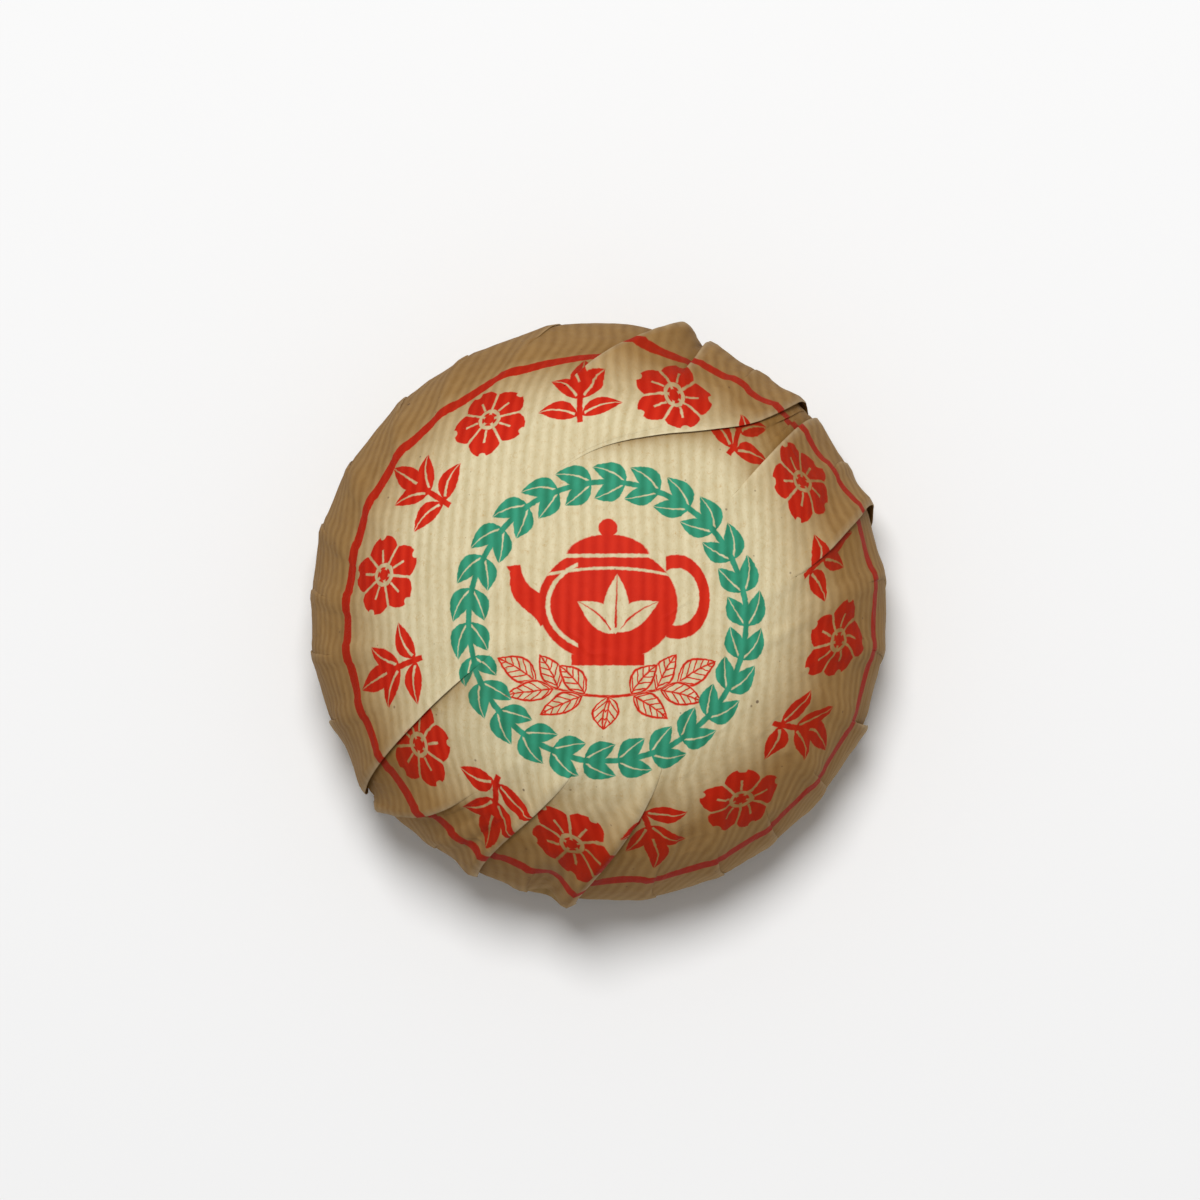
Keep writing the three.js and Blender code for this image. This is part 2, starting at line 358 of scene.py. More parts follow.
OVER_COLUMNS = [
    (0, 0.05, 1, 0, 0.22, -1),
    (0, 0.45, 1, 0, 0.45, -0.4),
    (0, 1.2, 1, 0, 1.2, 0),
]


def lay_down(k, distance):
    """Height of pleat k's top layer at a distance past its folded edge."""
    past_hidden, spring_power, roll_power, step_length = 5.0, 1.35, 0.7, 2.0
    covered = 2.2 * LAYER_GAP
    reach = np.maximum(np.minimum(WIDTH[k] + past_hidden, GAP_OVER[k] * 0.9), 0.3)
    sprung = LIFT[k] * (1 - np.clip(distance / reach, 0, 1)) ** spring_power
    roll_width = np.minimum(ROLL_WIDTH, GAP_OVER[k] * 0.6)
    rolled = np.sin(math.pi * np.clip(distance / roll_width, 0, 1) ** roll_power) ** 2
    step_down = 1 - smooth((distance - WIDTH[k]) / step_length)
    covering = covered * OVER_ROOM[k] * step_down * FORMED[k]
    return np.maximum(sprung, covering) + PLEATS[k]["roll"] * ROLLED * FORMED[k] * rolled


def turned_past(angle, start):
    """An angle measured from another, between minus and plus half a turn."""
    return (angle - start + math.pi) % math.tau - math.pi


def soft_ridges(angle):
    """Height of the soft ridges that run on up the dome from where the pleats start."""
    full_height, half_width = 0.28, 1.7
    before_start, growth, past_start, fade = 13, 11, 1, 7
    height = np.zeros_like(angle)
    for k, pleat in enumerate(PLEATS):
        grown = risen(pleat["start"] - before_start, growth)
        faded = risen(pleat["start"] + past_start, fade)
        rise = full_height * grown * (1 - faded)
        off = turned_past(angle, ANGLE[k][:, None])
        height += rise[:, None] * np.exp(-(off * R[:, None] / half_width) ** 2)
    return height


def shade_outside(k, distance):
    """How far pleat k's fold shades the paper at a distance outside its edge."""
    depth = FORMED[k] * np.minimum(1, LIFT[k] / SHADE_FULL_LIFT)
    return depth * np.exp(-distance / SHADE_REACH)


def pleat_columns(k):
    """Pleat k's columns anticlockwise. Each has, on every row, its distance along the row from the
    edge, its height, its place on the flat sheet, along the row and outward, measured from the
    panels on either side, and its painted shade, or below 0 its wear and painted highlight."""
    width, lean, formed = WIDTH[k], LEAN[k] * TOP[k], FORMED[k]
    half_out = -HIDDEN[k] * np.sin(lean) * formed
    found = []
    for group, members in enumerate([UNDER_COLUMNS, MIDDLE_COLUMNS, OVER_COLUMNS]):
        for share, extra, lift_share, rise, unfolded, shade in members:
            flat = unfolded * (UNDER_ROOM[k] if unfolded < 0 else OVER_ROOM[k])
            room = UNDER_ROOM[k] if extra < 0 and share == 0 else OVER_ROOM[k]
            x = flat + (share * width + extra * room - flat) * formed
            height = (lift_share * LIFT[k] + rise * room) * formed
            along, out = x, -half_out
            if group == 1:
                back = (x - width) * formed
                along = x + (width - back * np.cos(2 * lean) - x) * formed
                out = -half_out + back * np.sin(2 * lean)
            if group == 2:
                height = lay_down(k, np.maximum(x, 0))
                along = x + JUMP_ALONG[k]
                out = half_out
            found.append((x, height, along, out, shade * shade_outside(k, np.maximum(-x, 0))))
    if TOP[k] > 0:
        return found
    return [(-x, height, JUMP_ALONG[k] - along, *rest) for x, height, along, *rest in found[::-1]]


GATHER_HEIGHT = 0.75  # height of the small gathers between the pleats inside the hollow
SIDE_GATHER_HEIGHT = 0.22  # and on the side
GATHERS_PER_PANEL = [2, 3, 3, 4]  # picked by chance
GATHER_ROOM = 5.0  # gathers are lower where a panel is narrower than this
GATHER_MARGIN = 0.15  # share of a panel over which they rise beside a pleat
GATHER_SEED = 11


def gathers():
    """Height of the small gathers between pleats, on each row and column."""
    chance = np.random.default_rng(GATHER_SEED)
    hollow_growth, full_radius, side_growth, foot_fade = 7, 14, 5, 3
    sway_length, sway_most = 5, 0.6
    in_hollow = risen(FOOT_END - 1, hollow_growth) * np.minimum(1, R / full_radius)
    on_side = risen(DOME_END + 1, side_growth) * (1 - risen(SIDE_END - foot_fade, foot_fade))
    full_height = GATHER_HEIGHT * in_hollow + SIDE_GATHER_HEIGHT * on_side
    phase = chance.uniform(0, 1, COUNT)
    many = chance.choice(GATHERS_PER_PANEL, COUNT)
    panel = PANEL_OF_COLUMN
    sway = sway_most * np.sin(S[:, None] / sway_length + 6 * phase[panel])
    wave = np.sin(math.pi * many[panel] * ACROSS + sway)
    off_pleats = smooth(ACROSS / GATHER_MARGIN) * smooth((1 - ACROSS) / GATHER_MARGIN)
    room = np.minimum(1, GAP_AFTER[panel].T / GATHER_ROOM)
    height = wave ** 2 * (0.5 + phase[panel]) * full_height[:, None]
    return height * off_pleats * room


def ease_spans():
    """For each dome pleat, the angles before and after it over which its shift eases out."""
    dome = [k for k in range(COUNT) if not PLEATS[k]["side"]]
    spans = {}
    for k in dome:
        gaps = {other: (PLEATS[other]["belt"] - PLEATS[k]["belt"]) % 360 for other in dome}
        after = min((o for o in dome if gaps[o] >= EASE_GAP_MIN), key=lambda o: gaps[o])
        before = max((o for o in dome if 0 < gaps[o] <= 360 - EASE_GAP_MIN), key=lambda o: gaps[o])
        ahead = (ANGLE[after] - ANGLE[k]) % math.tau
        behind = (ANGLE[k] - ANGLE[before]) % math.tau
        spans[k] = behind, ahead
    return spans


EASE_SPANS = ease_spans()


def relaxed_out(angle, own=None):
    """Outward shift of the sheet at an angle on each row: what the dome pleats, all but the one
    that the place belongs to, leave behind or need, easing out away from each."""
    shift = np.zeros_like(angle)
    for k, (behind, ahead) in EASE_SPANS.items():
        if k == own:
            continue
        off = turned_past(angle, ANGLE[k])
        past = np.clip(1 - off / ahead, 0, 1)
        before = np.clip(1 + off / behind, 0, 1)
        shift += JUMP_OUT[k] / 2 * np.where(off >= 0, past, -before)
    return shift


def panel_columns(k, start, end):
    """The plain columns of the panel after pleat k, between two angles. Each has, on every row,
    its angle, height, shade and share of the way across the panel."""
    after = (k + 1) % COUNT
    widest = GAP_AFTER[k][S < SIDE_END].max()
    count = max(PANEL_COLUMNS_MIN, round(widest / PANEL_SPACING) - 2)
    found = []
    for i in range(1, count + 1):
        angle = start + (end - start) * i / (count + 1)
        past = (angle - ANGLE[k]) * R
        ahead = (NEXT_ANGLE[k] - angle) * R
        height = lay_down(k, past) if TOP[k] > 0 else np.zeros_like(S)
        shade = shade_outside(k, past) if TOP[k] < 0 else np.zeros_like(S)
        if TOP[after] < 0:
            height = np.maximum(height, lay_down(after, ahead))
        else:
            shade = np.maximum(shade, shade_outside(after, ahead))
        found.append((angle, height, shade, (angle - ANGLE[k]) / (NEXT_ANGLE[k] - ANGLE[k])))
    return found


def build_columns():
    """Every column anticlockwise: angle, height, place on the sheet along the row and outward,
    shade, and share of the way across its panel, on each row, and the number of its panel."""
    columns, panels = [], []
    carried = np.zeros_like(S)
    pleats = [pleat_columns(k) for k in range(COUNT)]
    for k, members in enumerate(pleats):
        for x, height, along, out, shade in members:
            angle = ANGLE[k] + x / R
            out = relaxed_out(angle) if PLEATS[k]["side"] else out + relaxed_out(angle, own=k)
            columns.append((angle, height, ANGLE[k] * R + along + carried, out, shade, 0 * S))
            panels.append(k)
        carried = carried + JUMP_ALONG[k]
        start = ANGLE[k] + members[-1][0] / R
        end = NEXT_ANGLE[k] + pleats[(k + 1) % COUNT][0][0] / R
        for angle, height, shade, across in panel_columns(k, start, end):
            columns.append((angle, height, angle * R + carried, relaxed_out(angle), shade, across))
            panels.append(k)
    turn = math.tau / (math.tau * R + carried)
    angle, height, along, out, shade, across = (np.array(values).T for values in zip(*columns))
    height = height + soft_ridges(angle)
    return angle, height, along * turn[:, None], out, shade, across, np.array(panels)


def noise_push(places, noises):
    """Sum of smooth noises at each place, given by their height, fineness and seed."""
    push = np.zeros(places.shape[:-1])
    for height, fineness, seed in noises:
        offset = Vector((seed * 13.7, seed * 7.1, seed * 3.3))
        found = [noise.noise(Vector(place) * fineness + offset) for place in places.reshape(-1, 3)]
        push += height * np.array(found).reshape(push.shape)
    return push


def crease_height(places):
    """Height of the soft creases and dimples at each place."""
    end_share = 0.35  # of a crease's full height, left at its ends
    height = np.zeros(places.shape[:-1])
    seen = places[..., :2]
    above = places[..., 2] > WIDEST_AT_HEIGHT
    for start, end, rise, width in CREASES:
        start, end = np.array(start), np.array(end)
        share = ((seen - start) @ (end - start)) / ((end - start) @ (end - start))
        inside = np.clip(share, 0, 1)
        off = np.linalg.norm(seen - start - inside[..., None] * (end - start), axis=-1)
        taper = end_share + (1 - end_share) * np.sin(math.pi * inside)
        height += above * rise * taper * np.exp(-(off / width) ** 2)
    for place, rise, width in DIMPLES:
        off = np.linalg.norm(seen - np.array(place), axis=-1)
        height += above * rise * np.exp(-(off / width) ** 2)
    return height


# Smooth noises that push the paper in and out: height, fineness, seed.
LOOSE_NOISES = [(0.55, 0.07, 1), (0.22, 0.2, 2), (0.07, 0.5, 5)]
CRUMPLE_NOISES = [(0.9, 0.35, 3), (0.4, 0.9, 4)]  # in the hollow


def panel_bulge():
    """How far a panel's ends stand off the round on each row, as a share of the radius."""
    dome_bulge, dome_start, dome_growth = 0.009, 26, 16
    belt_loss, belt_start, belt_growth = 0.006, 44, 9
    bulge = dome_bulge * risen(dome_start, dome_growth)
    bulge -= belt_loss * risen(belt_start, belt_growth)
    return bulge * (1 - ON_SIDE)


def unevenness(places):
    """How far hand-laid paper stands in or out of its smooth shape at each place."""
    pressed_share, loose_start, loose_growth = 0.35, 18, 25
    crumple_start, crumple_growth, foot_width = FOOT_END + 4, 14, 8
    loose = pressed_share + (1 - pressed_share) * risen(loose_start, loose_growth)
    crumple = risen(crumple_start, crumple_growth)
    off_foot = smooth(np.abs(S - (SIDE_END + FOOT_END) / 2) / foot_width)
    push = noise_push(places, LOOSE_NOISES) * loose[:, None]
    push += noise_push(places, CRUMPLE_NOISES) * crumple[:, None]
    return push * off_foot[:, None] + crease_height(places) + gathers()


def place_points(angle, height, across):
    """Where every point of the rows lies in space."""
    radius = R[:, None] + NORMAL_R[:, None] * height
    radius = radius * (1 + panel_bulge()[:, None] * (2 * across - 1) ** 2)
    z = Z[:, None] + NORMAL_Z[:, None] * height
    places = np.stack([radius * np.cos(angle), radius * np.sin(angle), z], axis=-1)
    normal = np.stack([
        NORMAL_R[:, None] * np.cos(angle),
        NORMAL_R[:, None] * np.sin(angle),
        np.broadcast_to(NORMAL_Z[:, None], angle.shape),
    ], axis=-1)
    places = places + normal * unevenness(places)[..., None]
    low = np.minimum(places[..., 2], PRESSED_HEIGHT)
    places[..., 2] += PRESSED_HEIGHT * np.exp((low - PRESSED_HEIGHT) / PRESSED_HEIGHT) - low
    return places


STEADY_REACH = 40.0  # a place on the smooth panel at the upper left
STEADY_DEGREES = 150.0


def sheet_places(turn, out):
    """Where every point of the rows lies on the flat sheet, turned so that the smooth panel at
    the upper left has the same direction on the sheet as on the dome."""
    row = int(np.argmin(np.abs(S - STEADY_REACH)))
    column = int(np.argmin(np.abs(COLUMN_ANGLE[row] - math.radians(STEADY_DEGREES))))
    turn = turn - (turn[:, column] - COLUMN_ANGLE[:, column])[:, None]
    reach = S[:, None] + out
    return np.stack([reach * np.cos(turn), reach * np.sin(turn)], axis=-1)


COLUMN_ANGLE, COLUMN_HEIGHT, SHEET_TURN, SHEET_OUT, SHADE, ACROSS, PANEL_OF_COLUMN = build_columns()


def add_object(name, data):
    """A new object in the scene."""
    added = bpy.data.objects.new(name, data)
    bpy.context.scene.collection.objects.link(added)
    return added


def add_uv(mesh, name, values):
    layer = mesh.uv_layers.new(name=name)
    layer.data.foreach_set("uv", np.ascontiguousarray(values, dtype=np.float32).ravel())


def add_point_values(mesh, name, values):
    attribute = mesh.attributes.new(name, "FLOAT", "POINT")
    attribute.data.foreach_set("value", np.concatenate(values).astype(np.float32))


def wrapper_faces(rows, columns):
    """The points at every face's corners, and each face's number of corners: a fan at the top of
    the dome, quads between the rows, and a fan at the knot."""
    index = 1 + np.arange(rows * columns).reshape(rows, columns)
    beside = np.roll(index, -1, axis=1)
    quads = np.stack([index[:-1], index[1:], beside[1:], beside[:-1]], axis=-1).reshape(-1, 4)
    top_fan = np.stack([np.zeros(columns, int), index[0], beside[0]], axis=-1)
    last = np.full(columns, rows * columns + 1)
    knot_fan = np.stack([last, beside[-1], index[-1]], axis=-1)
    corners = np.concatenate([top_fan.ravel(), quads.ravel(), knot_fan.ravel()])
    sizes = np.concatenate([np.full(columns, 3), np.full(len(quads), 4), np.full(columns, 3)])
    return corners, sizes


def smooth_mesh(name, points, corners, sizes):
    """A smooth-shaded mesh from its points and faces."""
    mesh = bpy.data.meshes.new(name)
    mesh.vertices.add(len(points))
    mesh.vertices.foreach_set("co", points.ravel())
    mesh.loops.add(len(corners))
    mesh.loops.foreach_set("vertex_index", corners.astype(np.int32))
    mesh.polygons.add(len(sizes))
    starts = np.concatenate([[0], np.cumsum(sizes)[:-1]])
    mesh.polygons.foreach_set("loop_start", starts.astype(np.int32))
    mesh.polygons.foreach_set("use_smooth", np.ones(len(sizes), bool))
    mesh.update(calc_edges=True)
    return mesh


def sheet_at_corners(corners, columns):
    """Every face corner's place on the flat sheet. The fan at the knot ends on the sheet's round
    edge, so there each face has its own last place."""
    sheet = sheet_places(SHEET_TURN, SHEET_OUT)
    flat = np.concatenate([[[0, 0]], sheet.reshape(-1, 2), [[0, 0]]])[corners]
    fan = flat[-3 * columns:].reshape(-1, 3, 2)
    fan[:, 0] = (fan[:, 1] + fan[:, 2]) / 2 * (KNOT_END / S[-1])
    flat[-3 * columns:] = fan.reshape(-1, 2)
    return flat


def make_wrapper():
    """The wrapper as one closed mesh, with its place on the flat sheet as UV maps."""
    places = place_points(COLUMN_ANGLE, COLUMN_HEIGHT, ACROSS)
    rows, columns = places.shape[:2]
    top, knot = [0, 0, HEIGHT], [0, 0, HOLLOW_DEPTH - KNOT_DROP]
    points = np.concatenate([[top], places.reshape(-1, 3), [knot]]) * MM
    corners, sizes = wrapper_faces(rows, columns)
    mesh = smooth_mesh("paper_wrapper", points, corners, sizes)
    flat = sheet_at_corners(corners, columns)
    add_uv(mesh, "sheet", flat)
    add_uv(mesh, "OFBake", flat / (2 * KNOT_END * MAP_MARGIN) + 0.5)
    add_point_values(mesh, "reach", [[0], np.repeat(S, columns), [KNOT_END]])
    add_point_values(mesh, "shade", [[0], SHADE.ravel(), [0]])
    mesh.validate()
    mesh.set_sharp_from_angle(angle=math.radians(SHARP_DEGREES))
    return add_object("paper_wrapper", mesh)


# -------- shapes drawn by material nodes
class Number:
    """A number in a material's node tree, so that shapes can be written as formulas."""

    def __init__(self, tree, socket):
        self.tree = tree
        self.socket = socket

    def math(self, operation, *others, clamp=False):
        node = self.tree.nodes.new("ShaderNodeMath")
        node.operation = operation
        node.use_clamp = clamp
        for slot, value in zip(node.inputs, (self, *others)):
            if isinstance(value, Number):
                self.tree.links.new(value.socket, slot)
            else:
                slot.default_value = value
        return Number(self.tree, node.outputs[0])

    def __add__(self, other):
        return self.math("ADD", other)

    def __sub__(self, other):
        return self.math("SUBTRACT", other)

    def __mul__(self, other):
        return self.math("MULTIPLY", other)

    def __truediv__(self, other):
        return self.math("DIVIDE", other)

    def __neg__(self):
        return self.math("MULTIPLY", -1.0)

    def __radd__(self, other):
        return self.math("ADD", other)

    def __rsub__(self, other):
        return (-self).math("ADD", other)

    __rmul__ = __mul__

    def __abs__(self):
        return self.math("ABSOLUTE")

    def most(self, other):
        return self.math("MAXIMUM", other)

    def clamped(self):
        return self.math("ADD", 0.0, clamp=True)


def most(values):
    """The greatest of some numbers in a node tree."""
    result = values[0]
    for value in values[1:]:
        result = result.most(value)
    return result


def length(x, y):
    return (x * x + y * y).math("SQRT")


def turned(x, y, degrees):
    """The point (x, y) seen in axes turned by an angle."""
    cos, sin = math.cos(math.radians(degrees)), math.sin(math.radians(degrees))
    return x * cos + y * sin, y * cos - x * sin


INK_EDGE = 0.14  # millimetres over which ink fades into bare paper


def inked(inside):
    """Ink cover, 0 to 1, from the distance inside a shape's outline."""
    return (inside * (1 / INK_EDGE)).math("ADD", 0.5, clamp=True)


def leaf_frame(x, y, base, degrees, size, bend):
    """A pointed leaf's own measures: distance along it, its share of the whole, distance off its
    bent rib, and distance inside its outline."""
    reach, width = size
    along, across = turned(x - base[0], y - base[1], degrees)
    share = along / reach
    belly = (share * (1 - share) * 4).most(-0.3)
    off = abs(across - belly * bend)
    fuller_at_base = 1.25 - share.clamped() * 0.5
    inside = belly * fuller_at_base * (width / 2) - off
    return along, share, off, inside


def leaf(x, y, base, degrees, size, bend=0.0, rib=0.28):
    """Ink cover of a pointed leaf, solid but for its rib, which narrows to the tip."""
    along, share, off, inside = leaf_frame(x, y, base, degrees, size, bend)
    open_rib = inked(rib / 2 * (1.2 - share) - off) * inked(along - size[0] * 0.1)
    return inked(inside) * (1 - open_rib)


LINE_HALF = 0.17  # half the width of an outlined leaf's lines
RIB_HALF = 0.13
VEIN_HALF = 0.15
VEIN_SPACING = 1.15
VEIN_LEAN = 1.1


def outlined_leaf(x, y, base, degrees, size, bend=0.0):
    """Ink cover of a leaf drawn in line, with rib and close side veins, and its whole area."""
    along, _, off, inside = leaf_frame(x, y, base, degrees, size, bend)
    outline = inked(LINE_HALF - abs(inside - LINE_HALF))
    rib = inked(RIB_HALF - off) * inked(inside)
    phase = ((along - off * VEIN_LEAN) / VEIN_SPACING).math("FRACT")
    veins = inked(VEIN_HALF - abs(phase - 0.5) * VEIN_SPACING) * inked(inside - 0.2)
    return most([outline, rib, veins]), inked(inside)


def sectors(turn_share, count):
    """Divide the circle: the sector's number, and the way across it from -0.5 to 0.5."""
    scaled = turn_share * count
    number = scaled.math("FLOOR")
    return number, scaled - number - 0.5


# The two red rings' centres are measured from the green wreath's.
BORDER_CENTRE = (1.8, 0.0)
BORDER_RADIUS = 43.3
BORDER_WIDTH = 1.9
MOTIF_CENTRE = (0.8, 1.0)
MOTIF_RADIUS = 34.8
MOTIF_SCALE = 0.93
MOTIF_COUNT = 16
WREATH_RADIUS = 19.7
WREATH_LEAVES = 26
WREATH_STEM_HALF = 0.42
PETALS = 5
PETAL_RADIUS = 2.75
PETAL_REACH = 3.5  # distance of a petal's middle from the blossom's
NOTCH_RADIUS = 0.7
NOTCH_REACH = 6.35


def polar(x, y):
    """The share of a full turn, from 0.5 to 1.5, and the distance from the centre."""
    return y.math("ARCTAN2", x) / math.tau + 1, length(x, y)


def blossom(x, y):
    """A blossom of notched petals, seen from the front."""
    petal_turn = x.math("ARCTAN2", y) / math.tau + 1
    _, petal = sectors(petal_turn + 0.5 / PETALS, PETALS)
    middle = length(x, y)
    petal_angle = petal * (math.tau / PETALS)
    side = middle * petal_angle.math("SINE")
    outward = middle * petal_angle.math("COSINE")
    petals = inked(PETAL_RADIUS - length(side, outward - PETAL_REACH))
    notch = inked(NOTCH_RADIUS - length(side, outward - NOTCH_REACH))
    stamen = inked(0.18 - abs(side)) * inked(outward - 1.9) * inked(4.0 - outward)
    gaps = inked(0.2 - abs(abs(petal) - 0.5) * (math.tau / PETALS) * middle)
    heart = inked(0.85 - middle)
    ring = inked(0.3 - abs(middle - 1.5))
    return (petals * (1 - notch) * (1 - stamen) * (1 - gaps) * (1 - ring)).most(heart)


def sprig(x, y):
    """Five leaves on a short stem, the same on both sides."""
    side = abs(x)
    tall = leaf(x, y, (0, -1.0), 90, (7.8, 3.5), rib=0.4)
    low = leaf(side, y, (0.2, -5.6), 20, (6.6, 3.1), bend=0.6, rib=0.4)
    upper = leaf(side, y, (0.2, -2.4), 47, (6.6, 2.8), bend=0.5, rib=0.4)
    stem = inked(0.45 - side) * inked(y + 6.8) * inked(0.5 - y)
    return most([tall, low, upper, stem])


def red_ring(print_x, print_y):
    """Blossoms and leaf sprigs by turns."""
    turn_share, reach = polar(print_x - MOTIF_CENTRE[0], print_y - MOTIF_CENTRE[1])
    number, across = sectors(turn_share, MOTIF_COUNT)
    x = across * (math.tau / MOTIF_COUNT / MOTIF_SCALE) * reach
    y = (reach - MOTIF_RADIUS) / MOTIF_SCALE
    is_odd = (number / 2).math("FRACT").math("GREATER_THAN", 0.25)
    return blossom(x, y) * is_odd + sprig(x, y) * (1 - is_odd)


def border_line(x, y):
    """The line round the blossoms and sprigs."""
    reach = length(x - BORDER_CENTRE[0], y - BORDER_CENTRE[1])
    return inked(BORDER_WIDTH / 2 - abs(reach - BORDER_RADIUS))


def green_ring(print_x, print_y):
    """A wreath of paired leaves on a thin stem."""
    turn_share, reach = polar(print_x, print_y)
    _, across = sectors(turn_share, WREATH_LEAVES)
    x = across * (math.tau * WREATH_RADIUS / WREATH_LEAVES)
    y = reach - WREATH_RADIUS
    pair = leaf(x, abs(y), (-2.4, 0.0), 27, (5.2, 2.9), bend=0.35, rib=0.25)
    stem = inked(WREATH_STEM_HALF - abs(y))
    return pair.most(stem)


POT_SCALE = 1.16
POT_RISE = 2.3
POT_HALF_WIDTH = 8.4
POT_HALF_HEIGHT = 7.0
POT_RIM = 5.6
BRANCH_DROP = 10.6
BRANCH_HALF = 10.6  # half its length
BRANCH_BEND = 0.022
# The leaves on a branch's right half: base, direction in degrees, length and width.
BRANCH_LEAVES = [
    ((10.0, -8.6), 32, (6.6, 3.6)),
    ((7.0, -9.6), 62, (5.6, 3.2)),
    ((7.6, -9.5), -12, (6.6, 3.2)),
    ((3.2, -10.3), 48, (5.6, 3.2)),
    ((3.6, -10.5), -28, (6.2, 3.2)),
    ((0.0, -10.6), -90, (4.6, 3.4)),
]


def teapot(x, y):
    """A round teapot with three leaves on its side."""
    belly = length(x / POT_HALF_WIDTH, y / POT_HALF_HEIGHT)
    body = inked((1 - belly) * POT_HALF_HEIGHT) * inked(POT_RIM - y)
    shine = inked(0.24 - abs(1 - length((x + 0.3) / 6.9, (y + 0.1) / 5.5)) * 6.0) * inked(-x - 3.6)
    bands = inked(0.17 - abs(y - 4.3 + x * x * 0.014)) * body
    picture = most([
        leaf(x, y, (0.9, -3.6), 88, (7.2, 3.0), rib=0.3),
        leaf(x, y, (0.7, -3.6), 138, (5.8, 2.8), bend=-0.5, rib=0.3),
        leaf(x, y, (1.1, -3.4), 36, (6.2, 2.8), bend=0.5, rib=0.3),
    ])
    lid = inked((1 - length(x / 5.0, (y - 5.7) / 2.7)) * 2.7) * inked(y - 6.05)
    knob = inked(1.15 - length(x, y - 9.2))
    foot = inked(4.4 - abs(x)) * inked(y + 7.4) * inked(-6.0 - y)
    handle = inked(0.75 - abs(1 - length((x - 8.3) / 3.4, (y - 0.9) / 4.3)) * 3.9) * inked(x - 7.0)
    along, across = turned(x + 6.4, y + 1.6, 122)
    share = (along / 7.6).clamped()
    swan = across - 0.9 + (share * (3 * math.pi / 2)).math("COSINE") * 0.8
    spout = inked(1.9 - share * 1.15 - abs(swan)) * inked(along) * inked(7.6 + across * 0.5 - along)
    pot = most([body, lid, knob, foot, handle, spout])
    return pot * (1 - most([shine, bands, picture]))


def garland(x, y):
    """A branch of tea leaves drawn in line, the same on both sides."""
    side = abs(x)
    above_branch = y + BRANCH_DROP - side * side * BRANCH_BEND
    ink = inked(0.2 - abs(above_branch)) * inked(BRANCH_HALF - side)
    for base, degrees, size in BRANCH_LEAVES:
        drawn, inside = outlined_leaf(side, y, base, degrees, size, bend=0.3)
        ink = (ink * (1 - inside)).most(drawn)
    return ink


def emblem(x, y):
    """The teapot over the garland."""
    pot = teapot(x / POT_SCALE, (y - POT_RISE) / POT_SCALE)
    return pot.most(garland(x, y))


class Nodes:
    """Shorthand for making the nodes of one material."""

    def __init__(self, material):
        material.use_nodes = True
        self.tree = material.node_tree
        self.shader = self.tree.nodes["Principled BSDF"]

    def link(self, source, target):
        self.tree.links.new(getattr(source, "socket", source), target)

    def number(self, socket):
        return Number(self.tree, socket)

    def joined(self, *values):
        """A vector from two or three numbers."""
        node = self.tree.nodes.new("ShaderNodeCombineXYZ")
        for slot, value in zip(node.inputs, values):
            if isinstance(value, Number):
                self.link(value, slot)
            else:
                slot.default_value = value
        return node.outputs[0]

    def parted(self, vector):
        """A vector's first two numbers."""
        node = self.tree.nodes.new("ShaderNodeSeparateXYZ")
        self.link(vector, node.inputs[0])
        return self.number(node.outputs["X"]), self.number(node.outputs["Y"])

    def coordinates(self, uv_map):
        """A UV map's two coordinates."""
        uv = self.tree.nodes.new("ShaderNodeUVMap")
        uv.uv_map = uv_map
        return self.parted(uv.outputs["UV"])

    def attribute(self, name):
        node = self.tree.nodes.new("ShaderNodeAttribute")
        node.attribute_name = name
        return self.number(node.outputs["Fac"])

    def noise(self, x, y, z=0.0, detail=2.0, roughness=0.5):
        """Noise from 0 to 1 at scaled coordinates."""
        node = self.tree.nodes.new("ShaderNodeTexNoise")
        node.inputs["Scale"].default_value = 1.0
        node.inputs["Detail"].default_value = detail
        node.inputs["Roughness"].default_value = roughness
        self.link(self.joined(x, y, z), node.inputs["Vector"])
        return self.number(node.outputs["Fac"])

    def flecks(self, x, y, spacing, size):
        """Scattered small round flecks, about half as many as squares of the given spacing."""
        bare_share = 0.45
        cells = self.tree.nodes.new("ShaderNodeTexVoronoi")
        cells.voronoi_dimensions = "2D"
        cells.inputs["Scale"].default_value = 1.0
        self.link(self.joined(x / spacing, y / spacing), cells.inputs["Vector"])
        chance, _ = self.parted(cells.outputs["Color"])
        radius = (chance - bare_share) * size * 2
        return inked(radius - self.number(cells.outputs["Distance"]) * spacing)

    def mix(self, share, first, second):
        """A colour between two colours or colour sockets."""
        node = self.tree.nodes.new("ShaderNodeMix")
        node.data_type = "RGBA"
        self.link(share, node.inputs["Factor"])
        for slot, value in ((node.inputs[6], first), (node.inputs[7], second)):
            if isinstance(value, tuple):
                slot.default_value = (*value, 1)
            else:
                self.link(value, slot)
        return node.outputs[2]

    def bump(self, height):
        """Bend the surface's shading by a height in millimetres."""
        node = self.tree.nodes.new("ShaderNodeBump")
        node.inputs["Strength"].default_value = 1.0
        node.inputs["Distance"].default_value = MM
        self.link(height, node.inputs["Height"])
        self.link(node.outputs["Normal"], self.shader.inputs["Normal"])


# -------- the printed paper
PRINT_CENTRE = (3.3, -4.0)
PRINT_WOBBLE = 0.28  # how far the print's edges stray
RIB_PERIOD = 1.7
RIB_WANDER = 1.2
# Heights of the paper's relief
RIB_HEIGHT = 0.012
FIBRE_HEIGHT = 0.05
MOTTLE_HEIGHT = 0.42
CRINKLE_HEIGHT = 0.08
